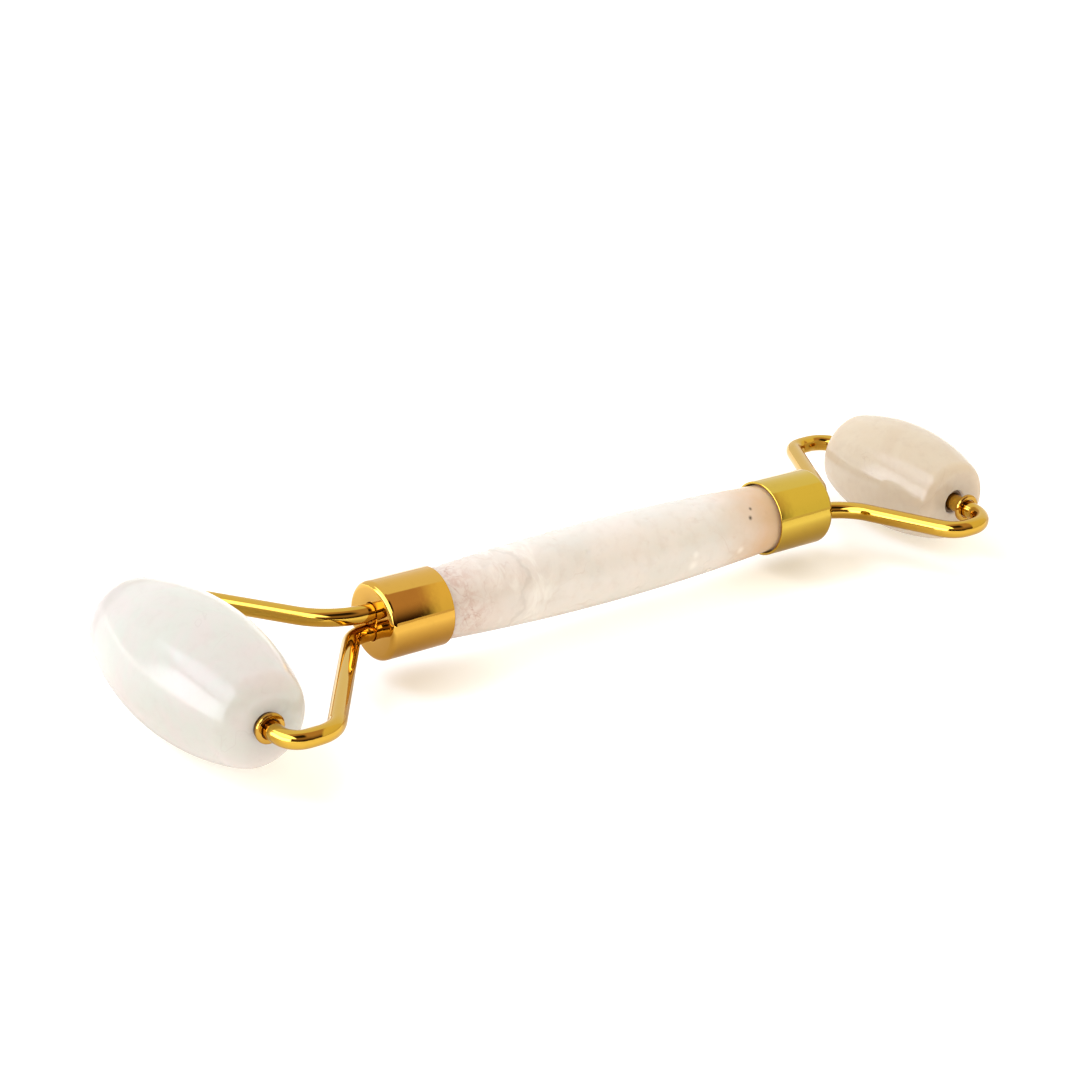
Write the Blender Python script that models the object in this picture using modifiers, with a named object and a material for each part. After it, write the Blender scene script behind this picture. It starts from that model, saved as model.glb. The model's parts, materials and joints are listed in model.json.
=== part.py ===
"""A double-ended facial roller: a stone handle with a wire fork and a spinning stone roller at each end.

Metres, +Z up. The origin is the middle of the handle. +X runs along the handle to the small roller,
and both rollers turn on axles along Y, which are the straight ends of the forks' wires.
"""

import math
from typing import NamedTuple

import bmesh
import bpy
from mathutils import Vector

MM = 0.001
QUARTER_TURN = math.pi / 2

# Gaps between neighbours: one that turns or slides on the other, and one that is glued or soldered.
RUNNING_GAP = 0.1 * MM
JOINT_GAP = 0.25 * MM

# Handle: a barrel of stone with a plain tenon in each ferrule.
HANDLE_SEEN_LENGTH = 62.4 * MM
HANDLE_MIDDLE_RADIUS = 6.5 * MM
TENON_LENGTH = 4.4 * MM
TENON_CHAMFER = 0.5 * MM

# Ferrule: a thin cup with a thick base, its mouth over the tenon.
FERRULE_RADIUS = 6.0 * MM
FERRULE_LENGTH = 10.8 * MM
FERRULE_WALL = 0.4 * MM
FERRULE_BASE = 1.2 * MM
FERRULE_EDGE = 0.9 * MM
FERRULE_LIP = 0.12 * MM

# Fork: one wire, with two legs that leave the ferrule one above the other.
WIRE_RADIUS = 1.37 * MM
LEG_HEIGHT = 1.55 * MM
BIGHT_DEPTH = 2.4 * MM
PIN_DEPTH = 6.0 * MM

# Each mouth of a roller's bore holds a bush, and each pin carries a collar outside it.
BORE_RADIUS = 1.7 * MM
MOUTH_CHAMFER = 0.2 * MM
BUSH_WALL = 0.5 * MM
BUSH_LENGTH = 3.4 * MM
BUSH_RECESS = 0.5 * MM
COLLAR_RADIUS = 2.3 * MM
COLLAR_THICKNESS = 0.8 * MM
COLLAR_EDGE = 0.3 * MM

FACE_X = HANDLE_SEEN_LENGTH / 2 + FERRULE_LENGTH
FERRULE_INNER_RADIUS = FERRULE_RADIUS - FERRULE_WALL
TENON_RADIUS = FERRULE_INNER_RADIUS - JOINT_GAP
TENON_END = FERRULE_LENGTH - TENON_LENGTH
SLOT_HALF_WIDTH = WIRE_RADIUS + JOINT_GAP
SLOT_DEPTH = BIGHT_DEPTH + LEG_HEIGHT + SLOT_HALF_WIDTH
SLEEVE_RADIUS = WIRE_RADIUS + RUNNING_GAP
BUSH_RADIUS = SLEEVE_RADIUS + BUSH_WALL
SEAT_RADIUS = BUSH_RADIUS + RUNNING_GAP
SEAT_DEPTH = BUSH_RECESS + BUSH_LENGTH + RUNNING_GAP
MOUTH_RADIUS = SEAT_RADIUS + MOUTH_CHAMFER

STONE_SEGMENTS = 56
METAL_SEGMENTS = 48
BARREL_STEPS = 20
CROWN_STEPS = 12
CORNER_STEPS = 8
ARC_STEPS = 6


class Leg(NamedTuple):
    """One of a fork's legs: how far out of the ferrule it would run straight, and the bend it ends in."""

    reach: float
    bend: float


class End(NamedTuple):
    """One end of the tool. Its reaches are distances out from the ferrule's face.

    A roller's outline is a long arc, the crown, that runs into a smaller arc, the corner, at each end.
    A flat end face joins the corner to the mouth of the bore. The roller rests off the axle's middle by
    its shift, towards the far side, and each gap is the play between it and a collar.
    """

    name: str
    side: int
    near_leg: Leg
    far_leg: Leg
    shoulder_reach: float
    shoulder_bend: float
    axle_reach: float
    fork_half_width: float
    elbow_bend: float
    roller_radius: float
    crown_radius: float
    corner_radius: float
    roller_half_length: float
    roller_shift: float
    near_gap: float
    far_gap: float

    @property
    def face_x(self):
        return self.side * FACE_X

    @property
    def axle_x(self):
        return self.side * (FACE_X + self.axle_reach)

    @property
    def crown_angle(self):
        """The angle at the crown's centre between the roller's middle and where a corner begins."""
        reach = self.crown_radius - self.corner_radius
        return math.asin((self.roller_half_length - self.corner_radius) / reach)

    @property
    def corner_centre(self):
        """The (radius, height) of the centre of a corner that the crown runs into without a break."""
        reach = self.crown_radius - self.corner_radius
        radius = self.roller_radius - self.crown_radius + reach * math.cos(self.crown_angle)
        return radius, reach * math.sin(self.crown_angle)


ENDS = (
    End(
        name="large",
        side=-1,
        near_leg=Leg(3.2 * MM, 4.5 * MM),
        far_leg=Leg(6.3 * MM, 11.0 * MM),
        shoulder_reach=22.2 * MM,
        shoulder_bend=5.0 * MM,
        axle_reach=29.4 * MM,
        fork_half_width=25.6 * MM,
        elbow_bend=2.9 * MM,
        roller_radius=10.3 * MM,
        crown_radius=52.0 * MM,
        corner_radius=4.0 * MM,
        roller_half_length=19.5 * MM,
        roller_shift=-0.325 * MM,
        near_gap=0.25 * MM,
        far_gap=0.9 * MM,
    ),
    End(
        name="small",
        side=1,
        near_leg=Leg(6.0 * MM, 8.4 * MM),
        far_leg=Leg(2.4 * MM, 4.0 * MM),
        shoulder_reach=13.3 * MM,
        shoulder_bend=3.5 * MM,
        axle_reach=21.4 * MM,
        fork_half_width=19.9 * MM,
        elbow_bend=4.4 * MM,
        roller_radius=8.75 * MM,
        crown_radius=34.0 * MM,
        corner_radius=2.1 * MM,
        roller_half_length=12.8 * MM,
        roller_shift=1.45 * MM,
        near_gap=2.2 * MM,
        far_gap=0.3 * MM,
    ),
)


def clear_scene():
    for obj in list(bpy.data.objects):
        bpy.data.objects.remove(obj, do_unlink=True)


def new_collection(name, rendered=True):
    collection = bpy.data.collections.new(name)
    collection.hide_render = not rendered
    bpy.context.scene.collection.children.link(collection)
    return collection


def new_material(name, colour, roughness, metallic=0.0):
    material = bpy.data.materials.new(name)
    material.use_nodes = True
    shader = material.node_tree.nodes["Principled BSDF"]
    shader.inputs["Base Color"].default_value = (*colour, 1.0)
    shader.inputs["Roughness"].default_value = roughness
    shader.inputs["Metallic"].default_value = metallic
    return material


def quartz(name, pinkness):
    """Pale quartz: pinkness 0 is nearly white, and 1 is a pink beige."""
    return new_material(name, (0.88, 0.86 - 0.08 * pinkness, 0.83 - 0.12 * pinkness), 0.2)


def gold(name):
    return new_material(name, (0.83, 0.58, 0.2), 0.12, metallic=1.0)


def nylon(name):
    return new_material(name, (0.3, 0.24, 0.16), 0.5)


def adhesive(name):
    return new_material(name, (0.85, 0.8, 0.62), 0.4)


def arc(centre, radius, start, end, steps=ARC_STEPS):
    """Points along a circle in a plane, from the start angle to the end angle."""
    angles = [start + (end - start) * step / steps for step in range(steps + 1)]
    return [(centre[0] + radius * math.cos(a), centre[1] + radius * math.sin(a)) for a in angles]


def empty(name, location, rotation, collection):
    """A frame that an end's pieces are placed in."""
    frame = bpy.data.objects.new(name, None)
    frame.location = location
    frame.rotation_euler = rotation
    frame.empty_display_size = 5 * MM
    collection.objects.link(frame)
    return frame


def turned(name, profile, material, collection, segments=METAL_SEGMENTS, ring=False):
    """A solid of revolution about its own Z. The profile's (radius, height) points run down its outside."""
    mesh = bpy.data.meshes.new(name)
    edges = [(index, index + 1) for index in range(len(profile) - 1)]
    if ring:
        edges.append((len(profile) - 1, 0))
    mesh.from_pydata([(radius, 0.0, height) for radius, height in profile], edges, [])
    mesh.materials.append(material)
    obj = bpy.data.objects.new(name, mesh)
    collection.objects.link(obj)
    screw = obj.modifiers.new("Turn", "SCREW")
    screw.steps = segments
    screw.render_steps = segments
    screw.use_merge_vertices = True
    screw.merge_threshold = 1e-6
    screw.use_smooth_shade = True
    return obj


def placed(obj, frame, height=0.0):
    """Parents a piece to a frame, at a height along the frame's Z."""
    obj.parent = frame
    obj.location.z = height
    return obj


def add_handle_stone(collection):
    """The barrel between the ferrules swells as a parabola, and each tenon is plain."""
    half = HANDLE_SEEN_LENGTH / 2
    swell = HANDLE_MIDDLE_RADIUS - TENON_RADIUS
    top = half + TENON_LENGTH
    tenon = [(0.0, top), (TENON_RADIUS - TENON_CHAMFER, top), (TENON_RADIUS, top - TENON_CHAMFER)]
    heights = [half * (1 - 2 * step / BARREL_STEPS) for step in range(BARREL_STEPS + 1)]
    barrel = [(TENON_RADIUS + swell * (1 - (height / half) ** 2), height) for height in heights]
    lower_tenon = [(radius, -height) for radius, height in reversed(tenon)]
    stone = turned("handle_stone", tenon + barrel + lower_tenon, quartz("handle_quartz", 0.6), collection)
    stone.rotation_euler.y = QUARTER_TURN


def add_ferrule(end, face, collection):
    """A cup with its mouth towards the handle and a rounded edge round its outer face."""
    round_edge = arc((FERRULE_RADIUS - FERRULE_EDGE, -FERRULE_EDGE), FERRULE_EDGE, QUARTER_TURN, 0.0)
    profile = [
        (0.0, 0.0),
        *round_edge,
        (FERRULE_RADIUS, FERRULE_LIP - FERRULE_LENGTH),
        (FERRULE_RADIUS - FERRULE_LIP, -FERRULE_LENGTH),
        (FERRULE_INNER_RADIUS + FERRULE_LIP, -FERRULE_LENGTH),
        (FERRULE_INNER_RADIUS, FERRULE_LIP - FERRULE_LENGTH),
        (FERRULE_INNER_RADIUS, -FERRULE_BASE),
        (0.0, -FERRULE_BASE),
    ]
    name = f"{end.name}_ferrule"
    return placed(turned(name, profile, gold(f"{name}_gold"), collection), face)


def add_bond(end, face, collection):
    """The plug of adhesive between the ferrule's base and the handle's tenon."""
    radius = FERRULE_INNER_RADIUS - JOINT_GAP
    top = -FERRULE_BASE - JOINT_GAP
    bottom = JOINT_GAP - TENON_END
    profile = [(0.0, top), (radius, top), (radius, bottom), (0.0, bottom)]
    name = f"{end.name}_bond"
    return placed(turned(name, profile, adhesive(f"{name}_resin"), collection), face)


def slot_cutter(end, face, collection):
    """A round-ended bar that clears both legs and the bight between them."""
    upper = arc((LEG_HEIGHT, 0.0), SLOT_HALF_WIDTH, -QUARTER_TURN, QUARTER_TURN)
    outline = upper + [(-across, -along) for across, along in upper]
    clearance = FERRULE_BASE
    curve = bpy.data.curves.new(f"{end.name}_slot", "CURVE")
    curve.dimensions = "2D"
    curve.fill_mode = "BOTH"
    curve.extrude = (SLOT_DEPTH + clearance) / 2
    spline = curve.splines.new("POLY")
    spline.points.add(len(outline) - 1)
    for point, (across, along) in zip(spline.points, outline):
        point.co = (across, along, 0.0, 1.0)
    spline.use_cyclic_u = True
    bar = bpy.data.objects.new(curve.name, curve)
    collection.objects.link(bar)
    return as_mesh(placed(bar, face, (clearance - SLOT_DEPTH) / 2), collection)


def as_mesh(curve_object, collection):
    """Replaces a curve's object by a mesh object, with its caps welded to its sides."""
    name = curve_object.name
    bpy.context.view_layer.update()
    graph = bpy.context.evaluated_depsgraph_get()
    mesh = bpy.data.meshes.new_from_object(curve_object.evaluated_get(graph))
    place = curve_object.matrix_world.copy()
    bpy.data.objects.remove(curve_object, do_unlink=True)
    welded = bmesh.new()
    welded.from_mesh(mesh)
    bmesh.ops.remove_doubles(welded, verts=welded.verts, dist=1e-6)
    bmesh.ops.recalc_face_normals(welded, faces=welded.faces)
    welded.to_mesh(mesh)
    welded.free()
    obj = bpy.data.objects.new(name, mesh)
    obj.matrix_world = place
    obj.display_type = "WIRE"
    obj.hide_render = True
    collection.objects.link(obj)
    return obj


def cut(obj, cutter):
    boolean = obj.modifiers.new("Cut", "BOOLEAN")
    boolean.operation = "DIFFERENCE"
    boolean.solver = "EXACT"
    boolean.object = cutter


def rounded(corners, bends):
    """A path through the corners, with each inner corner turned on the bend radius given for it."""
    path = [corners[0]]
    for before, corner, after, bend in zip(corners, corners[1:], corners[2:], bends):
        back = (before - corner).normalized()
        ahead = (after - corner).normalized()
        half_angle = back.angle(ahead) / 2
        centre = corner + (back + ahead).normalized() * bend / math.sin(half_angle)
        tangent_length = bend / math.tan(half_angle)
        start = (corner + back * tangent_length - centre).normalized()
        finish = (corner + ahead * tangent_length - centre).normalized()
        turns = [start.slerp(finish, step / ARC_STEPS) for step in range(ARC_STEPS + 1)]
        path += [centre + bend * turn for turn in turns]
    path.append(corners[-1])
    return path


def arm_path(end, leg, side):
    """One arm's middle line, from its end of the bight to its pin's tip. side is 1 for the far arm.

    It is in the frame of the ferrule's face, where z runs outwards and y to the far side. The upper
    leg feeds the far arm, and the lower leg the near arm.
    """
    down = end.side * side * LEG_HEIGHT
    across = side * end.fork_half_width
    pin_tip = side * (end.roller_half_length - PIN_DEPTH)
    corners = [
        Vector((-down, 0.0, -BIGHT_DEPTH)),
        Vector((-down, 0.0, leg.reach)),
        Vector((0.0, across, end.shoulder_reach)),
        Vector((0.0, across, end.axle_reach)),
        Vector((0.0, pin_tip, end.axle_reach)),
    ]
    return rounded(corners, (leg.bend, end.shoulder_bend, end.elbow_bend))


def fork_path(end):
    """The wire's middle line, from the near pin's tip through the bight to the far pin's tip."""
    near_arm = arm_path(end, end.near_leg, -1)
    far_arm = arm_path(end, end.far_leg, 1)
    half_turn = arc((0.0, -BIGHT_DEPTH), LEG_HEIGHT, -math.pi, 0.0)[1:-1]
    bight = [Vector((-end.side * across, 0.0, out)) for across, out in half_turn]
    return near_arm[::-1] + bight + far_arm


def add_fork(end, face, collection):
    """One wire, bent to two arms, whose turned-in ends are the pins that the roller runs on."""
    name = f"{end.name}_fork"
    curve = bpy.data.curves.new(name, "CURVE")
    curve.dimensions = "3D"
    curve.bevel_depth = WIRE_RADIUS
    curve.use_fill_caps = True
    path = fork_path(end)
    spline = curve.splines.new("POLY")
    spline.points.add(len(path) - 1)
    for point, place in zip(spline.points, path):
        point.co = (*place, 1.0)
    spline.use_smooth = True
    curve.materials.append(gold(f"{name}_gold"))
    fork = bpy.data.objects.new(name, curve)
    collection.objects.link(fork)
    placed(fork, face)


def roller_outline(end):
    """The roller's outside, down from one mouth of the bore to the other."""
    corner = arc(end.corner_centre, end.corner_radius, QUARTER_TURN, end.crown_angle, CORNER_STEPS)
    upper = [(MOUTH_RADIUS, end.roller_half_length), *corner]
    crown_centre = (end.roller_radius - end.crown_radius, 0.0)
    crown = arc(crown_centre, end.crown_radius, end.crown_angle, -end.crown_angle, CROWN_STEPS)
    lower = [(radius, -height) for radius, height in reversed(upper)]
    return upper + crown[1:-1] + lower


def add_roller_stone(end, axle, collection):
    """The roller, bored through, with a seat for a bush in each mouth."""
    half = end.roller_half_length
    upper_bore = [
        (BORE_RADIUS, half - SEAT_DEPTH),
        (SEAT_RADIUS, half - SEAT_DEPTH),
        (SEAT_RADIUS, half - MOUTH_CHAMFER),
    ]
    lower_bore = [(radius, -height) for radius, height in reversed(upper_bore)]
    profile = roller_outline(end) + lower_bore + upper_bore
    name = f"{end.name}_roller_stone"
    pinkness = 0.15 if end.name == "large" else 0.8
    stone = turned(name, profile, quartz(f"{name}_quartz", pinkness), collection, STONE_SEGMENTS, ring=True)
    placed(stone, axle, end.roller_shift)


def add_bushes(end, axle, collection):
    """A plain sleeve just inside each mouth of the roller's bore."""
    half = BUSH_LENGTH / 2
    profile = [(BUSH_RADIUS, half), (BUSH_RADIUS, -half), (SLEEVE_RADIUS, -half), (SLEEVE_RADIUS, half)]
    reach = end.roller_half_length - BUSH_RECESS - half
    for side_name, side in (("near", -1), ("far", 1)):
        name = f"{end.name}_bush_{side_name}"
        bush = turned(name, profile, nylon(f"{name}_nylon"), collection, ring=True)
        placed(bush, axle, end.roller_shift + side * reach)


def add_collars(end, axle, collection):
    """A disc with rounded edges on each pin, which stops the roller's end float."""
    half = COLLAR_THICKNESS / 2
    centre = (COLLAR_RADIUS - COLLAR_EDGE, half - COLLAR_EDGE)
    top_edge = arc(centre, COLLAR_EDGE, QUARTER_TURN, 0.0, ARC_STEPS // 2)
    bottom_edge = [(radius, -height) for radius, height in reversed(top_edge)]
    profile = top_edge + bottom_edge + [(SLEEVE_RADIUS, -half), (SLEEVE_RADIUS, half)]
    for side_name, side, gap in (("near", -1, end.near_gap), ("far", 1, end.far_gap)):
        name = f"{end.name}_collar_{side_name}"
        collar = turned(name, profile, gold(f"{name}_gold"), collection, ring=True)
        placed(collar, axle, end.roller_shift + side * (end.roller_half_length + gap + half))


def main():
    clear_scene()
    roller = new_collection("face_roller")
    cutters = new_collection("cutters", rendered=False)
    add_handle_stone(roller)
    for end in ENDS:
        face = empty(f"{end.name}_face", (end.face_x, 0.0, 0.0), (0.0, end.side * QUARTER_TURN, 0.0), roller)
        slot = slot_cutter(end, face, cutters)
        cut(add_ferrule(end, face, roller), slot)
        cut(add_bond(end, face, roller), slot)
        add_fork(end, face, roller)
        axle = empty(f"{end.name}_axle", (end.axle_x, 0.0, 0.0), (-QUARTER_TURN, 0.0, 0.0), roller)
        add_roller_stone(end, axle, roller)
        add_bushes(end, axle, roller)
        add_collars(end, axle, roller)


main()
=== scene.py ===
"""The looks of a double-ended face roller: fine meshes, materials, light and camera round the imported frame.

Metres, +Z up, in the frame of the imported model: X runs along the handle and both axles run along Y.
Widths, radii and places are read from the frame. The values below shape what the frame doesn't hold.
"""

import json
import math
from typing import NamedTuple

import bpy
from mathutils import Matrix, Quaternion, Vector, noise


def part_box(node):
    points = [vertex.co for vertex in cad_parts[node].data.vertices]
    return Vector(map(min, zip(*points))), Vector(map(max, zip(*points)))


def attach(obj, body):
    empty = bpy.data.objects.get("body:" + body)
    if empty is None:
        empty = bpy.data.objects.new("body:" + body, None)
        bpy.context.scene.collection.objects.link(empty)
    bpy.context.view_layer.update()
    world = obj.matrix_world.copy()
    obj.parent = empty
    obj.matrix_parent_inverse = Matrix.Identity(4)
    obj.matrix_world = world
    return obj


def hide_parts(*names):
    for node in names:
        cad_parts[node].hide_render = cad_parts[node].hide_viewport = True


MM = 0.001
QUARTER_TURN = math.pi / 2
TAU = 2 * math.pi

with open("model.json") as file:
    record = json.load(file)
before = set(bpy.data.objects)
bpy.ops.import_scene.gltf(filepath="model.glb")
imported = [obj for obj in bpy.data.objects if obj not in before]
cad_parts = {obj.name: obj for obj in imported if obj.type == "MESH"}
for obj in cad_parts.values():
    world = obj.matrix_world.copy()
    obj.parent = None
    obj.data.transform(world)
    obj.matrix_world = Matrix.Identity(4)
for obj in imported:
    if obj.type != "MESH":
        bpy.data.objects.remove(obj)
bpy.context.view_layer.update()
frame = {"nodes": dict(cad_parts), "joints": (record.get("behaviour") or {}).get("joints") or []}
joints = {joint["name"]: joint for joint in frame["joints"]}

# How finely the shapes are cut.
STONE_SEGMENTS = 208
METAL_SEGMENTS = 160
WIRE_SIDES = 40
BARREL_STEPS = 260
CROWN_STEPS = 110
CORNER_STEPS = 22
EDGE_STEPS = 8
FERRULE_EDGE_STEPS = 14
BEND_STEPS = 18
SLOT_STEPS = 40
WIRE_STEP = 0.8 * MM
CREASE = math.radians(35)
CUT_CREASE = math.radians(25)

# Handle: the stone between the ferrules, and the tenon inside each.
TENON_GAP = 0.25 * MM
TENON_CHAMFER = 0.5 * MM

# Dark specks and pale flecks in the handle, in millimetres: where each is, and its radius.
HANDLE_SPECKS = (((25.4, -4.7, 3.2), 0.55), ((26.1, -3.8, 4.3), 0.45))
HANDLE_FLECKS = (((13.2, -5.9, -1.6), 1.3), ((13.5, -6.1, 0.2), 0.9), ((23.0, -5.6, -1.4), 1.0))

# Ferrule: a cup with a thick base.
FERRULE_WALL = 0.4 * MM
FERRULE_BASE = 1.2 * MM
FERRULE_EDGE = 0.9 * MM
FERRULE_LIP = 0.14 * MM
SLOT_GAP = 0.14 * MM
SLOT_ROUND = 0.12 * MM
BRAZE_HEIGHTS = ((-1.1 * MM, 0.0), (-0.5 * MM, 0.0), (-0.28 * MM, 0.25 * MM), (-0.16 * MM, 0.7 * MM))

# Fork: the heights of its two legs, and how deep its bight and its pins reach.
LEG_HEIGHT = 1.55 * MM
BIGHT_DEPTH = 2.4 * MM
PIN_DEPTH = 6.0 * MM
PIN_TIP_SCALE = 0.88
BEND_FLATTENING = 0.07

# Roller bore, bushes and collars.
BORE_RADIUS = 1.7 * MM
MOUTH_ROUND = 0.22 * MM
BUSH_CHAMFER = 0.12 * MM
COLLAR_EDGE = 0.34 * MM
COLLAR_BORE_EDGE = 0.1 * MM

# Light that has gone through a stone.
WARM_LIGHT = (0.97, 0.88, 0.74, 1.0)
STONE_PASSES = 0.75

# Hand-ground stone: how far its surface wanders, and over what length.
WANDER_DEPTH = 0.05 * MM
WANDER_LENGTH = 7.0 * MM
FINE_WANDER = 2.3
FINE_SHARE = 0.4
PIT_DEPTH = 0.5 * MM
PIT_LENGTH = 1.3 * MM
PIT_RARITY = 0.52
CHIP_DEPTH = 0.14 * MM
CHIP_LENGTH = 0.9 * MM


class Leg(NamedTuple):
    """How far out of the ferrule a leg runs straight, and the bend it ends in."""

    reach: float
    bend: float


class Shape(NamedTuple):
    """What the frame doesn't say about one end: its fork's bends and its roller's outline."""

    near_leg: Leg
    far_leg: Leg
    shoulder_reach: float
    shoulder_bend: float
    elbow_bend: float
    crown_radius: float
    corner_radius: float


SHAPES = {
    "large": Shape(
        near_leg=Leg(3.2 * MM, 4.5 * MM),
        far_leg=Leg(6.3 * MM, 11.0 * MM),
        shoulder_reach=22.2 * MM,
        shoulder_bend=5.0 * MM,
        elbow_bend=2.9 * MM,
        crown_radius=52.0 * MM,
        corner_radius=4.0 * MM,
    ),
    "small": Shape(
        near_leg=Leg(6.0 * MM, 8.4 * MM),
        far_leg=Leg(2.4 * MM, 4.0 * MM),
        shoulder_reach=13.3 * MM,
        shoulder_bend=3.5 * MM,
        elbow_bend=4.4 * MM,
        crown_radius=34.0 * MM,
        corner_radius=2.1 * MM,
    ),
}


class End:
    """One end of the tool, measured on the frame. side is -1 for the large end and 1 for the small end."""

    def __init__(self, name, side):
        self.name = name
        self.side = side
        self.shape = SHAPES[name]
        low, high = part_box(f"{name}_ferrule")
        self.face_x = low.x if side < 0 else high.x
        self.ferrule_length = high.x - low.x
        self.ferrule_radius = high.z
        self.axle_x = joints[f"{name}_roller_spin"]["pos_m"][0]
        self.axle_reach = abs(self.axle_x - self.face_x)
        low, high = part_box(f"{name}_fork")
        outer_x = low.x if side < 0 else high.x
        self.wire_radius = abs(outer_x - self.axle_x)
        self.fork_half_width = high.y - self.wire_radius
        low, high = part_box(f"{name}_roller_stone")
        self.roller_radius = high.z
        self.roller_half_length = (high.y - low.y) / 2
        self.roller_y = (high.y + low.y) / 2
        self.bushes = {place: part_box(f"{name}_bush_{place}") for place in ("near", "far")}
        self.collars = {place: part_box(f"{name}_collar_{place}") for place in ("near", "far")}

    def face_matrix(self):
        """The frame of the ferrule's face: its z runs outwards and its y to the far side."""
        return Matrix.Translation((self.face_x, 0, 0)) @ Matrix.Rotation(self.side * QUARTER_TURN, 4, "Y")

    def axle_matrix(self, y):
        """A frame on the axle whose z runs along it, to the far side."""
        return Matrix.Translation((self.axle_x, y, 0)) @ Matrix.Rotation(-QUARTER_TURN, 4, "X")


# ---------------------------------------------------------------- meshes


def arc(centre, radius, start, end, steps=EDGE_STEPS):
    """Points along a circle in a plane, from the start angle to the end angle."""
    angles = [start + (end - start) * step / steps for step in range(steps + 1)]
    return [(centre[0] + radius * math.cos(a), centre[1] + radius * math.sin(a)) for a in angles]


def mesh_object(name, points, faces, material):
    """A smooth-shaded mesh with creases only where its faces meet at a sharp angle."""
    mesh = bpy.data.meshes.new(name)
    mesh.from_pydata(points, [], faces)
    mesh.materials.append(material)
    mesh.polygons.foreach_set("use_smooth", [True] * len(mesh.polygons))
    mesh.set_sharp_from_angle(angle=CREASE)
    mesh.update()
    obj = bpy.data.objects.new(name, mesh)
    bpy.context.scene.collection.objects.link(obj)
    return obj


def turned(name, profile, matrix, material, segments=METAL_SEGMENTS, ring=False, shaped=None):
    """A solid of revolution about the matrix's z.

    The profile's (radius, height) points run down its outside. shaped, if given, moves each point of the
    finished surface.
    """
    points = []
    rows = []
    for radius, height in profile:
        if radius < 1e-7:
            rows.append([len(points)] * segments)
            points.append(Vector((0.0, 0.0, height)))
            continue
        rows.append(list(range(len(points), len(points) + segments)))
        for step in range(segments):
            angle = TAU * step / segments
            points.append(Vector((radius * math.cos(angle), radius * math.sin(angle), height)))
    if ring:
        rows.append(rows[0])
    faces = []
    for upper, lower in zip(rows, rows[1:]):
        for step in range(segments):
            ahead = (step + 1) % segments
            corners = [upper[step], lower[step], lower[ahead], upper[ahead]]
            faces.append(list(dict.fromkeys(corners)))
    placed = [matrix @ point for point in points]
    if shaped:
        placed = [shaped(point) for point in placed]
    return mesh_object(name, placed, faces, material)


def fitted(piece, node, body):
    """Puts a piece in place of a CAD node, on that node's body."""
    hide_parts(node)
    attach(piece, body)
    return piece


def wander(point, centre_y, seed):
    """How far in a ground surface lies at a point: a soft, slow unevenness between 0 and the full depth."""
    place = Vector((point.x, point.y - centre_y, point.z)) / WANDER_LENGTH
    broad = noise.noise(place + Vector((seed, 0, 0)))
    fine = noise.noise(FINE_WANDER * place + Vector((0, seed, 0)))
    value = broad + FINE_SHARE * fine
    return WANDER_DEPTH * (0.5 + 0.5 * max(-1.0, min(1.0, value)))


def rounded(corners, bends):
    """A path through the corners, with each inner corner turned on the bend radius given for it."""
    path = [corners[0]]
    for before, corner, after, bend in zip(corners, corners[1:], corners[2:], bends):
        back = (before - corner).normalized()
        ahead = (after - corner).normalized()
        half_angle = back.angle(ahead) / 2
        centre = corner + (back + ahead).normalized() * bend / math.sin(half_angle)
        tangent_length = bend / math.tan(half_angle)
        start = (corner + back * tangent_length - centre).normalized()
        finish = (corner + ahead * tangent_length - centre).normalized()
        turns = [start.slerp(finish, step / BEND_STEPS) for step in range(BEND_STEPS + 1)]
        path += [centre + bend * turn for turn in turns]
    path.append(corners[-1])
    return path


def arm_path(end, leg, side):
    """One arm's middle line, from its end of the bight to its pin's tip. side is 1 for the far arm."""
    up = -end.side * side * LEG_HEIGHT
    across = side * end.fork_half_width
    pin_tip = side * (end.roller_half_length - PIN_DEPTH)
    corners = [
        Vector((up, 0.0, -BIGHT_DEPTH)),
        Vector((up, 0.0, leg.reach)),
        Vector((0.0, across, end.shape.shoulder_reach)),
        Vector((0.0, across, end.axle_reach)),
        Vector((0.0, pin_tip, end.axle_reach)),
    ]
    return rounded(corners, (leg.bend, end.shape.shoulder_bend, end.shape.elbow_bend))


def fork_path(end):
    """The wire's middle line, from the near pin's tip through the bight to the far pin's tip."""
    near_arm = arm_path(end, end.shape.near_leg, -1)
    far_arm = arm_path(end, end.shape.far_leg, 1)
    half_turn = arc((0.0, -BIGHT_DEPTH), LEG_HEIGHT, -math.pi, 0.0, BEND_STEPS)[1:-1]
    bight = [Vector((-end.side * across, 0.0, out)) for across, out in half_turn]
    return near_arm[::-1] + bight + far_arm


def resampled(path, step):
    """The path with its long straight stretches divided."""
    points = [path[0]]
    for before, after in zip(path, path[1:]):
        parts = max(1, round((after - before).length / step))
        points += [before.lerp(after, part / parts) for part in range(1, parts + 1)]
    return points


def curvatures(path):
    """At each point of a path, the direction it bends in, as long as it bends sharply."""
    bends = [Vector((0, 0, 0))]
    for before, point, after in zip(path, path[1:], path[2:]):
        turn = (after - point).normalized() - (point - before).normalized()
        bends.append(turn / max(1e-6, (after - before).length / 2))
    bends.append(Vector((0, 0, 0)))
    return bends


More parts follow.
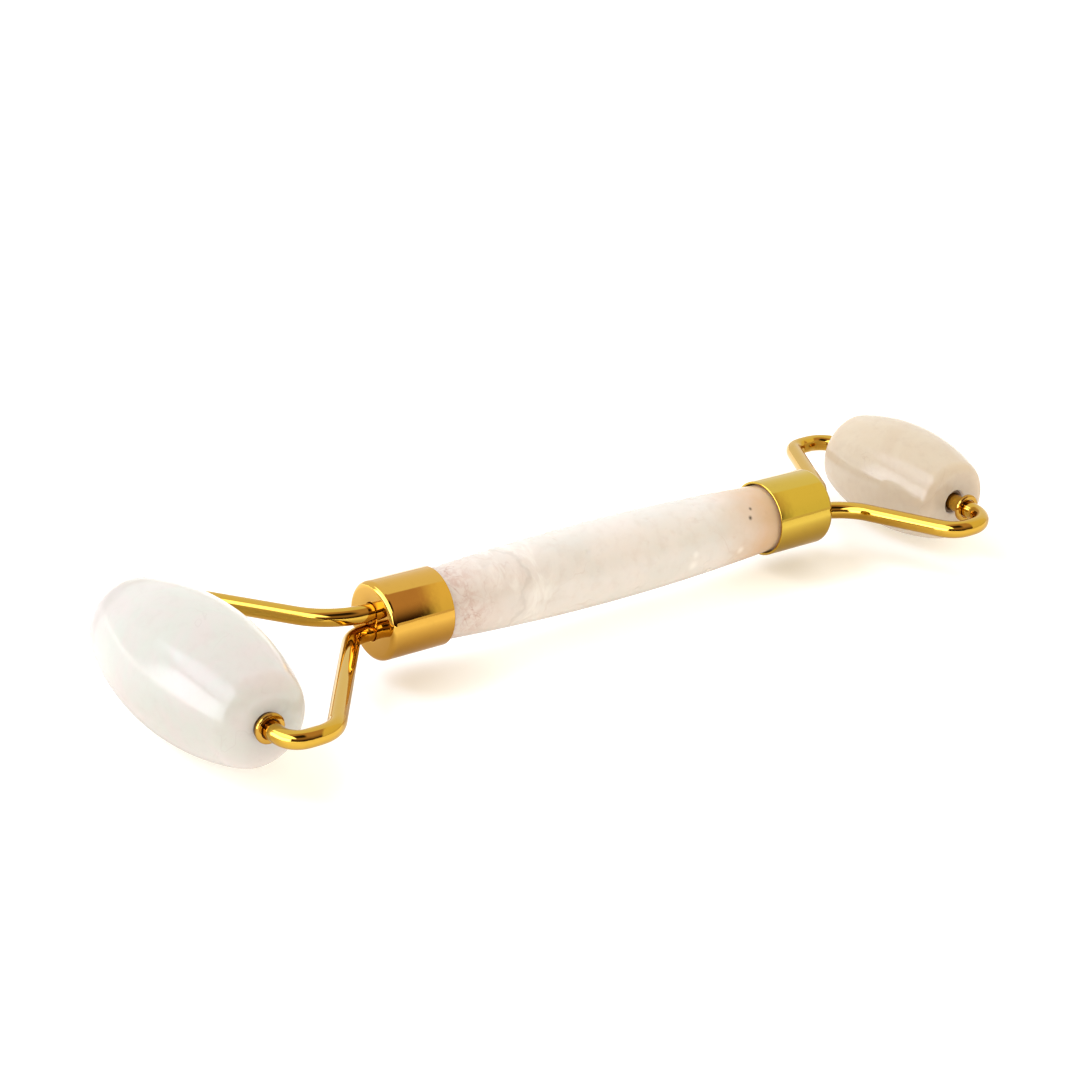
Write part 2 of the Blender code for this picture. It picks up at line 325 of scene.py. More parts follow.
def swept(name, path, radius, matrix, material):
    """A round wire along a path, a little flattened where it is bent, with eased ends."""
    tangents = [(after - before).normalized() for before, after in zip(path, path[1:])]
    tangents.append(tangents[-1])
    bends = curvatures(path)
    across = tangents[0].orthogonal().normalized()
    points = []
    for index, (place, tangent) in enumerate(zip(path, tangents)):
        if index:
            across = tangents[index - 1].rotation_difference(tangent) @ across
        across = (across - across.dot(tangent) * tangent).normalized()
        beside = tangent.cross(across)
        bend = bends[index]
        sharpness = min(1.0, bend.length * 2 * radius)
        inwards = bend.normalized() if bend.length > 1.0 else Vector((0, 0, 0))
        scale = PIN_TIP_SCALE if index in (0, len(path) - 1) else 1.0
        for side in range(WIRE_SIDES):
            angle = TAU * side / WIRE_SIDES
            offset = radius * scale * (math.cos(angle) * across + math.sin(angle) * beside)
            offset -= BEND_FLATTENING * sharpness * offset.dot(inwards) * inwards
            points.append(matrix @ (place + offset))
    faces = []
    for row in range(len(path) - 1):
        for side in range(WIRE_SIDES):
            first = row * WIRE_SIDES + side
            second = row * WIRE_SIDES + (side + 1) % WIRE_SIDES
            faces.append([first, second, second + WIRE_SIDES, first + WIRE_SIDES])
    last_row = (len(path) - 1) * WIRE_SIDES
    faces.append(list(range(WIRE_SIDES))[::-1])
    faces.append([last_row + side for side in range(WIRE_SIDES)])
    return mesh_object(name, points, faces, material)


# ---------------------------------------------------------------- shader nodes


# Colours of the marks in the stones.
PINK = (0.56, 0.42, 0.35)
PINK_BROWN = (0.46, 0.28, 0.22)
DARK_PINK = (0.36, 0.18, 0.13)
CLOUD_WHITE = (0.76, 0.74, 0.68)
VEIN_GREY = (0.42, 0.38, 0.34)
PEACH = (0.52, 0.31, 0.14)
SPECK_BROWN = (0.05, 0.025, 0.012)
FLECK_WHITE = (0.85, 0.82, 0.76)
# Painted shade for the large roller's far end, and the grey of a ring near that end.
PAINTED_END_SHADE = (0.3, 0.26, 0.23)
FAR_RING_GREY = (0.27, 0.23, 0.2)

# How dark the painted shade on stone is where it is seen edge on, and how much darker gold is where it is
# worn.
EDGE_SHADE = 0.55
WORN_SHADE = 0.82

# The two tones that each plastic is mottled between.
# The bush's dark tones are partly painted shade for the mouth of the bore.
BUSH_TONES = ((0.08, 0.05, 0.03), (0.2, 0.13, 0.07))
RESIN_TONES = ((0.72, 0.63, 0.4), (0.88, 0.83, 0.66))


class Stone(NamedTuple):
    """One stone's colours and the seed of its pattern.

    glow sets how strongly the stone gives off a painted glow of its own, which evens out the shading. tint,
    if given, takes the nodes, the place and the colour so far, and returns the colour.
    """

    name: str
    clear: tuple
    cloudy: tuple
    vein: tuple
    seed: float
    glow: float
    tint: object = None


class Plate(NamedTuple):
    """One finish of gold plate. Its scratches run along the axis that is scaled down."""

    name: str
    colour: tuple
    seed: float
    scratch_along: tuple


class Nodes:
    """Builds one node tree. Each method adds a node and returns the socket that carries its result."""

    def __init__(self, tree):
        self.tree = tree
        tree.nodes.clear()

    def add(self, kind, **settings):
        node = self.tree.nodes.new(kind)
        for name, value in settings.items():
            setattr(node, name, value)
        return node

    def feed(self, node, inputs):
        for key, value in inputs.items():
            socket = node.inputs[key]
            if isinstance(value, bpy.types.NodeSocket):
                self.tree.links.new(value, socket)
            else:
                socket.default_value = value
        return node

    def math(self, operation, first, second=0.0, clamp=False):
        node = self.add("ShaderNodeMath", operation=operation, use_clamp=clamp)
        return self.feed(node, {0: first, 1: second}).outputs[0]

    def ramp(self, value, low, high, start=0.0, finish=1.0):
        """Eases from start to finish as the value goes from low to high, and holds beyond."""
        node = self.add("ShaderNodeMapRange", interpolation_type="SMOOTHSTEP")
        inputs = {"Value": value, "From Min": low, "From Max": high, "To Min": start, "To Max": finish}
        return self.feed(node, inputs).outputs["Result"]

    @staticmethod
    def opaque(colour):
        """A socket as it is, or a plain colour with its alpha."""
        return colour if isinstance(colour, bpy.types.NodeSocket) else (*colour, 1.0)

    def mix(self, share, first, second):
        """Blends two colours."""
        node = self.add("ShaderNodeMix", data_type="RGBA")
        first, second = [self.opaque(colour) for colour in (first, second)]
        return self.feed(node, {"Factor": share, 6: first, 7: second}).outputs[2]

    def laid_on(self, body, colour, strength, *shares):
        """Lays a colour on the body, as strongly as the product of the shares and the strength."""
        total = strength
        for share in reversed(shares):
            total = self.math("MULTIPLY", share, total)
        return self.mix(total, body, colour)

    def off_centre(self, vector, size, reach):
        """A slow wobble of up to about half the reach either way."""
        return self.math("MULTIPLY", self.math("SUBTRACT", self.noise(vector, size, 3.0), 0.5), reach)

    def millimetres(self):
        """The point on the piece, in millimetres."""
        place = self.add("ShaderNodeTexCoord").outputs["Object"]
        node = self.add("ShaderNodeVectorMath", operation="SCALE")
        return self.feed(node, {0: place, "Scale": 1 / MM}).outputs[0]

    def axis(self, vector, letter):
        node = self.add("ShaderNodeSeparateXYZ")
        return self.feed(node, {0: vector}).outputs[letter]

    def stretched(self, vector, scale):
        node = self.add("ShaderNodeVectorMath", operation="MULTIPLY")
        return self.feed(node, {0: vector, 1: scale}).outputs[0]

    def noise(self, vector, size, detail=4.0, roughness=0.55, distortion=0.0, offset=0.0):
        """Cloudy noise about 0.5 whose blotches are about size across."""
        node = self.add("ShaderNodeTexNoise", noise_dimensions="4D")
        inputs = {
            "Vector": vector,
            "W": offset,
            "Scale": 1 / size,
            "Detail": detail,
            "Roughness": roughness,
            "Distortion": distortion,
        }
        return self.feed(node, inputs).outputs["Fac"]

    def lines(self, vector, size, width, offset=0.0, distortion=1.0):
        """Thin wandering lines: 1 on a line and 0 away from it."""
        field = self.noise(vector, size, detail=3.0, roughness=0.5, distortion=distortion, offset=offset)
        away = self.math("ABSOLUTE", self.math("SUBTRACT", field, 0.5))
        return self.ramp(away, 0.0, width, 1.0, 0.0)

    def spot(self, vector, centre, radius):
        """1 at the centre, fading to 0 at the radius."""
        node = self.add("ShaderNodeVectorMath", operation="DISTANCE")
        distance = self.feed(node, {0: vector, 1: centre}).outputs["Value"]
        return self.ramp(distance, 0.0, radius, 1.0, 0.0)

    def bump(self, height, distance):
        node = self.add("ShaderNodeBump")
        return self.feed(node, {"Height": height, "Distance": distance}).outputs[0]


def new_material(name):
    material = bpy.data.materials.new(name)
    material.use_nodes = True
    return material, Nodes(material.node_tree)


def finished(material, nodes, passes=0.0, **inputs):
    """Feeds a Principled shader and sends it to the output. Underscores in the names stand for spaces.

    passes is the share of direct light that goes on through the piece, warmed, to what its shadow falls on.
    """
    shader = nodes.add("ShaderNodeBsdfPrincipled")
    nodes.feed(shader, {key.replace("_", " "): value for key, value in inputs.items()})
    output = nodes.add("ShaderNodeOutputMaterial")
    if passes:
        shadow_ray = nodes.add("ShaderNodeLightPath").outputs["Is Shadow Ray"]
        through = nodes.feed(nodes.add("ShaderNodeBsdfTransparent"), {"Color": WARM_LIGHT}).outputs[0]
        blend = nodes.add("ShaderNodeMixShader")
        nodes.feed(blend, {0: nodes.math("MULTIPLY", shadow_ray, passes), 1: shader.outputs[0], 2: through})
        shader = blend
    nodes.tree.links.new(shader.outputs[0], output.inputs["Surface"])
    return material


def quartz(stone):
    """Polished translucent quartz: clouds from clear to cloudy, fine mottling, thin healed cracks, painted
    shade at its silhouette and a painted glow.
    """
    material, nodes = new_material(stone.name)
    place = nodes.millimetres()
    clouds = nodes.noise(place, 9.0, detail=5.0, roughness=0.6, distortion=0.8, offset=stone.seed)
    mottling = nodes.noise(place, 1.6, detail=4.0, roughness=0.6, distortion=0.3, offset=stone.seed + 3)
    body = nodes.mix(nodes.ramp(clouds, 0.36, 0.64), stone.clear, stone.cloudy)
    body = nodes.mix(nodes.ramp(mottling, 0.45, 0.75, 0.0, 0.22), body, stone.vein)
    cracks = nodes.lines(place, 13.0, width=0.012, offset=stone.seed + 7, distortion=1.6)
    patches = nodes.noise(place, 11.0, detail=2.0, roughness=0.5, offset=stone.seed + 9)
    patches = nodes.ramp(patches, 0.5, 0.62)
    body = nodes.laid_on(body, stone.vein, 0.35, cracks, patches)
    if stone.tint:
        body = stone.tint(nodes, place, body)
    # Painted shade: the stone is darkened where it is seen edge on, so that its silhouette stands out.
    painted_edge_shade = nodes.ramp(nodes.add("ShaderNodeLayerWeight").outputs["Facing"], 0.72, 1.0, 0.0, 0.5)
    body = nodes.mix(painted_edge_shade, body, tuple(EDGE_SHADE * channel for channel in stone.vein))
    pores = nodes.noise(place, 0.35, detail=2.0, roughness=0.5, offset=stone.seed + 5)
    height = nodes.math("ADD", nodes.math("MULTIPLY", mottling, 0.6), nodes.math("MULTIPLY", pores, 0.12))
    wear = nodes.noise(place, 5.0, detail=3.0, roughness=0.6, distortion=0.4, offset=stone.seed + 11)
    return finished(
        material,
        nodes,
        Base_Color=body,
        Subsurface_Weight=1.0,
        Subsurface_Radius=(1.0, 0.82, 0.72),
        Subsurface_Scale=6.0 * MM,
        Roughness=nodes.ramp(wear, 0.35, 0.7, 0.12, 0.24),
        IOR=1.54,
        Specular_IOR_Level=0.32,
        # Painted glow: the stone gives off light of its own, half its colour and half white, which evens out
        # its shading.
        Emission_Color=nodes.mix(0.5, body, (1.0, 1.0, 1.0)),
        Emission_Strength=stone.glow,
        Normal=nodes.bump(height, 0.02 * MM),
        passes=STONE_PASSES,
    )


def handle_tint(nodes, place, body):
    """The handle's own marks: pink mottling at the large end, cloudy bands, and peach at the small end."""
    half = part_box("small_ferrule")[0].x / MM
    along = nodes.axis(place, "X")
    along = nodes.math("ADD", along, nodes.off_centre(place, 6.0, 9.0))
    pink_end = nodes.ramp(along, -half, -half * 0.35, 1.0, 0.0)
    body = nodes.laid_on(body, PINK, 0.35, pink_end)
    crackled = nodes.ramp(along, -half, -half * 0.7, 1.0, 0.0)
    patches = nodes.noise(place, 1.7, detail=6.0, roughness=0.7, distortion=0.5, offset=21.0)
    body = nodes.laid_on(body, PINK_BROWN, 0.6, nodes.ramp(patches, 0.44, 0.62), crackled)
    veins = nodes.lines(place, 4.0, width=0.012, offset=25.0, distortion=0.4)
    body = nodes.laid_on(body, DARK_PINK, 0.5, veins, crackled)
    band_grain = nodes.stretched(place, (1.0, 0.4, 0.4))
    bands = nodes.noise(band_grain, 3.6, detail=5.0, roughness=0.6, distortion=1.2, offset=31.0)
    band_zone = nodes.math("MULTIPLY", nodes.ramp(along, -27.0, -22.0), nodes.ramp(along, -11.0, -17.0))
    body = nodes.laid_on(body, CLOUD_WHITE, 0.5, nodes.ramp(bands, 0.48, 0.66), band_zone)
    grey_vein = nodes.ramp(nodes.math("ABSOLUTE", nodes.math("ADD", along, 19.0)), 0.0, 0.6, 0.3, 0.0)
    body = nodes.mix(grey_vein, body, VEIN_GREY)
    peach_end = nodes.ramp(along, half * 0.55, half * 1.02, 0.0, 0.85)
    body = nodes.mix(peach_end, body, PEACH)
    for centre, radius in HANDLE_SPECKS:
        body = nodes.mix(nodes.spot(place, centre, radius), body, SPECK_BROWN)
    for centre, radius in HANDLE_FLECKS:
        body = nodes.laid_on(body, FLECK_WHITE, 0.4, nodes.spot(place, centre, radius))
    return body


def painted_far_end_shade_and_ring(nodes, place, body):
    """Painted shade darkening the stone towards its far end, and a soft grey ring inside the stone near that
    end.
    """
    ring_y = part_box("large_roller_stone")[1].y / MM - 5.0
    across = nodes.math("ADD", nodes.axis(place, "Y"), nodes.off_centre(place, 5.0, 6.0))
    from_ring = nodes.math("SUBTRACT", across, ring_y)
    ring = nodes.ramp(nodes.math("ABSOLUTE", from_ring), 0.0, 2.5, 0.4, 0.0)
    # Painted shade: the stone darkens towards its far end.
    end_shade = nodes.ramp(nodes.axis(place, "Y"), ring_y - 6.0, ring_y + 5.0, 0.0, 0.45)
    body = nodes.mix(end_shade, body, PAINTED_END_SHADE)
    return nodes.mix(ring, body, FAR_RING_GREY)


def gold(plate):
    """Mirror-polished gold plate with faint smudges, hairline scratches and a slow unevenness."""
    material, nodes = new_material(plate.name)
    place = nodes.millimetres()
    smudges = nodes.noise(place, 3.2, detail=4.0, roughness=0.65, distortion=0.6, offset=plate.seed)
    grain = nodes.stretched(place, plate.scratch_along)
    scratches = nodes.noise(grain, 0.22, detail=3.0, roughness=0.7, offset=plate.seed + 2)
    roughness = nodes.math(
        "ADD",
        nodes.ramp(smudges, 0.42, 0.75, 0.025, 0.09),
        nodes.ramp(scratches, 0.55, 0.75, 0.0, 0.06),
    )
    worn = nodes.noise(place, 2.1, detail=3.0, roughness=0.6, distortion=0.4, offset=plate.seed + 4)
    worn_colour = tuple(WORN_SHADE * channel for channel in plate.colour)
    body = nodes.mix(nodes.ramp(worn, 0.5, 0.8, 0.0, 0.25), plate.colour, worn_colour)
    unevenness = nodes.noise(place, 2.6, detail=2.0, roughness=0.5, offset=plate.seed + 6)
    height = nodes.math("ADD", nodes.math("MULTIPLY", scratches, 0.05), unevenness)
    return finished(
        material,
        nodes,
        Base_Color=body,
        Metallic=1.0,
        Roughness=roughness,
        Normal=nodes.bump(height, 0.012 * MM),
    )


def nylon(name):
    """Brown bush plastic, dulled by use, and dark partly as painted shade for the mouth of the bore."""
    material, nodes = new_material(name)
    place = nodes.millimetres()
    grain = nodes.noise(place, 0.4, detail=4.0, roughness=0.6, offset=1.0)
    body = nodes.mix(grain, *BUSH_TONES)
    roughness = nodes.ramp(grain, 0.3, 0.7, 0.35, 0.6)
    surface = nodes.bump(grain, 0.01 * MM)
    return finished(material, nodes, Base_Color=body, Roughness=roughness, Normal=surface)


def adhesive(name):
    """Cloudy set resin with small bubbles."""
    material, nodes = new_material(name)
    place = nodes.millimetres()
    clouds = nodes.noise(place, 2.0, detail=4.0, roughness=0.6, distortion=0.5, offset=2.0)
    bubbles = nodes.noise(place, 0.4, detail=1.0, roughness=0.4, offset=5.0)
    bubbles = nodes.ramp(bubbles, 0.62, 0.7)
    body = nodes.mix(clouds, *RESIN_TONES)
    return finished(
        material,
        nodes,
        Base_Color=body,
        Subsurface_Weight=0.4,
        Subsurface_Scale=1.5 * MM,
        Roughness=nodes.ramp(clouds, 0.3, 0.7, 0.25, 0.5),
        Normal=nodes.bump(bubbles, -0.04 * MM),
    )


# ---------------------------------------------------------------- pieces


def add_handle(material):
    """The barrel between the ferrules swells as a parabola. Small pits and a wandering surface mark it."""
    low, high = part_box("handle_stone")
    top = high.x
    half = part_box("small_ferrule")[0].x
    tenon_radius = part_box("small_ferrule")[1].z - FERRULE_WALL - TENON_GAP
    swell = high.z - tenon_radius
    tenon = [(0.0, top), (tenon_radius - TENON_CHAMFER, top), (tenon_radius, top - TENON_CHAMFER)]
    heights = [half * (1 - 2 * step / BARREL_STEPS) for step in range(BARREL_STEPS + 1)]
    barrel = [(tenon_radius + swell * (1 - (height / half) ** 2), height) for height in heights]
    lower_tenon = [(radius, -height) for radius, height in reversed(tenon)]

    def ground(point):
        if abs(point.x) >= half:
            return point
        outwards = Vector((0, point.y, point.z)).normalized()
        fade = 1 - (point.x / half) ** 8
        pit = PIT_DEPTH * max(0.0, noise.noise(point / PIT_LENGTH) - PIT_RARITY)
        return point - outwards * fade * (wander(point, 0.0, 5.0) + pit)

    matrix = Matrix.Rotation(QUARTER_TURN, 4, "Y")
    profile = tenon + barrel + lower_tenon
    piece = turned("handle_quartz_barrel", profile, matrix, material, STONE_SEGMENTS, shaped=ground)
    return fitted(piece, "handle_stone", "frame")


def ferrule_profile(end):
    """The cup's section, from the middle of its end face round its mouth to the inside of its base."""
    outer = end.ferrule_radius
    inner = outer - FERRULE_WALL
    lip_height = FERRULE_LIP - end.ferrule_length
    edge = arc((outer - FERRULE_EDGE, -FERRULE_EDGE), FERRULE_EDGE, QUARTER_TURN, 0.0, FERRULE_EDGE_STEPS)
    outer_lip = arc((outer - FERRULE_LIP, lip_height), FERRULE_LIP, 0.0, -QUARTER_TURN)
    inner_lip = arc((inner + FERRULE_LIP, lip_height), FERRULE_LIP, -QUARTER_TURN, -math.pi)
    return [(0.0, 0.0), *edge, *outer_lip, *inner_lip, (inner, -FERRULE_BASE), (0.0, -FERRULE_BASE)]


def slot_solid(outlines, matrix):
    """A round-ended bar along the ferrule's slot, from (depth, half width) outlines that go outwards."""
    points = []
    for depth, half_width in outlines:
        upper = arc((LEG_HEIGHT, 0.0), half_width, -QUARTER_TURN, QUARTER_TURN, SLOT_STEPS)
        outline = upper + [(-across, -along) for across, along in upper]
        points += [matrix @ Vector((across, along, depth)) for across, along in outline]
    size = len(points) // len(outlines)
    faces = [list(range(size))[::-1]]
    for row in range(len(outlines) - 1):
        for step in range(size):
            first = row * size + step
            second = row * size + (step + 1) % size
            faces.append([first, second, second + size, first + size])
    faces.append([(len(outlines) - 1) * size + step for step in range(size)])
    return points, faces


def slot_outlines(end):
    """The slot clears both legs, and flares at the face so that its rim is rounded."""
    half_width = end.wire_radius + SLOT_GAP
    rim = arc((0.0, SLOT_ROUND), SLOT_ROUND, 0.0, -QUARTER_TURN)
    outlines = [(-2 * FERRULE_BASE, half_width)]
    outlines += [(-drop, half_width + SLOT_ROUND - rise) for rise, drop in rim]
    outlines.append((FERRULE_BASE, half_width + SLOT_ROUND + FERRULE_BASE))
    return outlines


def cut_out(obj, cutter):
    """Cuts the cutter out of the object for good, and removes the cutter."""
    boolean = obj.modifiers.new("Slot", "BOOLEAN")
    boolean.operation = "DIFFERENCE"
    boolean.solver = "EXACT"
    boolean.object = cutter
    graph = bpy.context.evaluated_depsgraph_get()
    mesh = bpy.data.meshes.new_from_object(obj.evaluated_get(graph))
    obj.modifiers.clear()
    obj.data = mesh
    bpy.data.objects.remove(cutter, do_unlink=True)
    mesh.polygons.foreach_set("use_smooth", [True] * len(mesh.polygons))
    mesh.set_sharp_from_angle(angle=CUT_CREASE)


def add_ferrule(end, material):
    matrix = end.face_matrix()
    piece = turned(f"{end.name}_ferrule_cup", ferrule_profile(end), matrix, material)
    cutter = mesh_object(f"{end.name}_slot", *slot_solid(slot_outlines(end), matrix), material)
    cut_out(piece, cutter)
    return fitted(piece, f"{end.name}_ferrule", "frame")


def add_braze(end, material):
    """The metal that fills the slot round the wire, a little domed."""
    outlines = [(depth, end.wire_radius + SLOT_GAP - inset) for depth, inset in BRAZE_HEIGHTS]
    piece = mesh_object(f"{end.name}_ferrule_braze", *slot_solid(outlines, end.face_matrix()), material)
    return fitted(piece, f"{end.name}_ferrule", "frame")


def add_fork(end, material):
    path = resampled(fork_path(end), WIRE_STEP)
    piece = swept(f"{end.name}_fork_wire", path, end.wire_radius, end.face_matrix(), material)
    return fitted(piece, f"{end.name}_fork", "frame")


def roller_outline(end, mouth_radius):
    """The roller's outside: a crown, a corner at each end, and a flat face round the bore's mouth."""
    crown = end.shape.crown_radius
    corner = end.shape.corner_radius
    reach = crown - corner
    angle = math.asin((end.roller_half_length - corner) / reach)
    corner_centre = (end.roller_radius - crown + reach * math.cos(angle), reach * math.sin(angle))
    corner_arc = arc(corner_centre, corner, QUARTER_TURN, angle, CORNER_STEPS)
    face = [(mouth_radius + MOUTH_ROUND, end.roller_half_length)]
    upper = face + corner_arc
    crown_arc = arc((end.roller_radius - crown, 0.0), crown, angle, -angle, CROWN_STEPS)
    lower = [(radius, -height) for radius, height in reversed(upper)]
    return upper + crown_arc[1:-1] + lower


def add_roller(end, material, seed):
    """The stone, bored through, with a seat for a bush and a worn rim at each mouth."""
    bush_low, bush_high = end.bushes["far"]
    seat_radius = (bush_high.z - bush_low.z) / 2 + 0.1 * MM
    half = end.roller_half_length
    seat_height = bush_low.y - end.roller_y - 0.1 * MM
    rim = arc((seat_radius + MOUTH_ROUND, half - MOUTH_ROUND), MOUTH_ROUND, math.pi, QUARTER_TURN)[:-1]
    upper_bore = [(BORE_RADIUS, seat_height), (seat_radius, seat_height), *rim]
    lower_bore = [(radius, -height) for radius, height in reversed(upper_bore)]
    profile = roller_outline(end, seat_radius) + lower_bore + upper_bore
    axle = Vector((end.axle_x, end.roller_y, 0.0))

    def ground(point):
        from_axle = Vector((point.x - axle.x, 0.0, point.z - axle.z))
        height = abs(point.y - axle.y)
        if from_axle.length < seat_radius + 4 * MOUTH_ROUND:
            if height < half - 1.5 * MOUTH_ROUND or from_axle.length < seat_radius:
                return point
            chip = max(0.0, noise.noise(point / CHIP_LENGTH) - 0.15)
            return point - Vector((0, math.copysign(CHIP_DEPTH * chip, point.y - axle.y), 0))
        return point - from_axle.normalized() * wander(point, axle.y, seed)

    matrix = end.axle_matrix(end.roller_y)
    name = f"{end.name}_roller_quartz"
    piece = turned(f"{name}_barrel", profile, matrix, material, STONE_SEGMENTS, ring=True, shaped=ground)
    return fitted(piece, f"{end.name}_roller_stone", f"{end.name}_roller")


def sleeve_profile(outer, inner, half, outer_edge, inner_edge, steps=EDGE_STEPS):
    """A ring's section, with rounded outer edges and eased edges at its bore."""
    top = arc((outer - outer_edge, half - outer_edge), outer_edge, QUARTER_TURN, 0.0, steps)
    bottom = [(radius, -height) for radius, height in reversed(top)]
    upper_bore = [(inner, half - inner_edge), (inner + inner_edge, half)]
    bore = [(radius, -height) for radius, height in reversed(upper_bore)] + upper_bore
    return top + bottom + bore


def add_ring(end, node, box, body, material, edges):
    """A bush or a collar: a ring on the axle that fills its CAD box, with a running fit on the wire."""
    low, high = box
    inner = end.wire_radius + 0.1 * MM
    profile = sleeve_profile((high.z - low.z) / 2, inner, (high.y - low.y) / 2, *edges)
    matrix = end.axle_matrix((low.y + high.y) / 2)
    piece = turned(f"{node}_ring", profile, matrix, material, METAL_SEGMENTS, ring=True)
    return fitted(piece, node, body)


def add_bushes_and_collars(end, bush_material, collar_material):
    for place in ("near", "far"):
        add_ring(
            end,
            f"{end.name}_bush_{place}",
            end.bushes[place],
            f"{end.name}_bushes",
            bush_material,
            (BUSH_CHAMFER, BUSH_CHAMFER),
        )
        add_ring(
            end,
            f"{end.name}_collar_{place}",
            end.collars[place],
            "frame",
            collar_material,
            (COLLAR_EDGE, COLLAR_BORE_EDGE),
        )


def finish_bond(end, material):
    """The plug of adhesive keeps its CAD shape, which the ferrule hides."""
    node = frame["nodes"][f"{end.name}_bond"]
    for index in range(len(node.material_slots)):
        node.material_slots[index].material = material


# ---------------------------------------------------------------- stage, light and camera

FLOOR_RADIUS = 3.0
FLOOR_RINGS = 6
FLOOR_SEGMENTS = 96
FLOOR_GAP = 0.02 * MM
FLOOR_GLOW = 0.19
FLOOR_GLOW_COLOUR = (1.0, 0.93, 0.8, 1.0)
FLOOR_TONES = ((0.9, 0.9, 0.89), (0.93, 0.93, 0.925))
FLOOR_PAINTED_SHADOW = (0.3, 0.2, 0.12)
CAMERA_AZIMUTH = math.radians(-37.132)
CAMERA_ELEVATION = math.radians(24.161)
CAMERA_ROLL = math.radians(2.746)
CAMERA_DISTANCE = 445.97 * MM
CAMERA_TARGET = Vector((-3.72 * MM, 10.93 * MM, 0.0))
CAMERA_LENS = 95.88

# The studio that the metal mirrors, and the light that falls on everything.
ROOM_LOW = (0.03, 0.012, 0.006)
ROOM_HIGH = (0.66, 0.44, 0.36)
ROOM_RIGHT = (1.2, 1.15, 0.75)
PHOTOGRAPHER = (0.03, 0.02, 0.015)
STUDIO_BEHIND = (1.1, 1.12, 1.12)
WINDOW = (7.0, 7.2, 8.0)
ROOF_WINDOW = (4.0, 4.2, 5.0)
CARD = (0.95, 0.86, 0.74)
WHITE = (1.0, 1.0, 1.0)
AMBIENT = (1.15, 1.07, 0.94)
KEY_PLACE = (-0.5, 0.45, 0.75)
KEY_SIZE = 0.6
KEY_POWER = 8.0
KEY_COLOUR = (0.62, 0.76, 1.0)


def floor_normal(large, small):
    """The floor touches both rollers, so it tilts by the difference of their radii."""
    tilt = math.asin((large.roller_radius - small.roller_radius) / (small.axle_x - large.axle_x))
    return Vector((-math.sin(tilt), 0.0, math.cos(tilt)))


def floor_material():
    """White card with a very faint fibre and mottling, and a warm glow of its own.

    Mirrored in the metal it shows a painted shadow close under the tool, and a painted bright glow out to the
    left, below the window.
    """
    material, nodes = new_material("white_card")
    place = nodes.millimetres()
    fibre = nodes.noise(place, 1.2, detail=5.0, roughness=0.65, offset=3.0)
    mottling = nodes.noise(place, 60.0, detail=3.0, roughness=0.5, offset=6.0)
    body = nodes.mix(mottling, *FLOOR_TONES)
    mirrored = nodes.add("ShaderNodeLightPath").outputs["Is Glossy Ray"]
    # Painted shadow: mirrored rays see the card darker close under the tool.
    under = nodes.ramp(nodes.math("ABSOLUTE", nodes.axis(place, "Y")), 4.0, 40.0, 0.7, 0.0)
    body = nodes.mix(nodes.math("MULTIPLY", mirrored, under), body, FLOOR_PAINTED_SHADOW)
    # Painted reflection: mirrored rays see the card glow brightly far out to the left, as if lit by the
    # window.
    window = nodes.math("MULTIPLY", mirrored, nodes.ramp(nodes.axis(place, "X"), -200.0, -400.0, 0.0, 4.0))
    return finished(
        material,
        nodes,
        Base_Color=body,
        Roughness=0.7,
        Emission_Color=FLOOR_GLOW_COLOUR,
        Emission_Strength=nodes.math("ADD", window, FLOOR_GLOW),
        Normal=nodes.bump(fibre, 0.01 * MM),
    )


def add_floor(large, small):
    """A wide round card under the tool."""
    normal = floor_normal(large, small)
    centre = Vector((large.axle_x, 0.0, 0.0)) - normal * (large.roller_radius + FLOOR_GAP)
    turn = normal.to_track_quat("Z", "Y").to_matrix().to_4x4()
    matrix = Matrix.Translation(centre) @ turn
    profile = [(FLOOR_RADIUS * step / FLOOR_RINGS, 0.0) for step in range(FLOOR_RINGS + 1)]
    floor = turned("floor", profile, matrix, floor_material(), FLOOR_SEGMENTS)


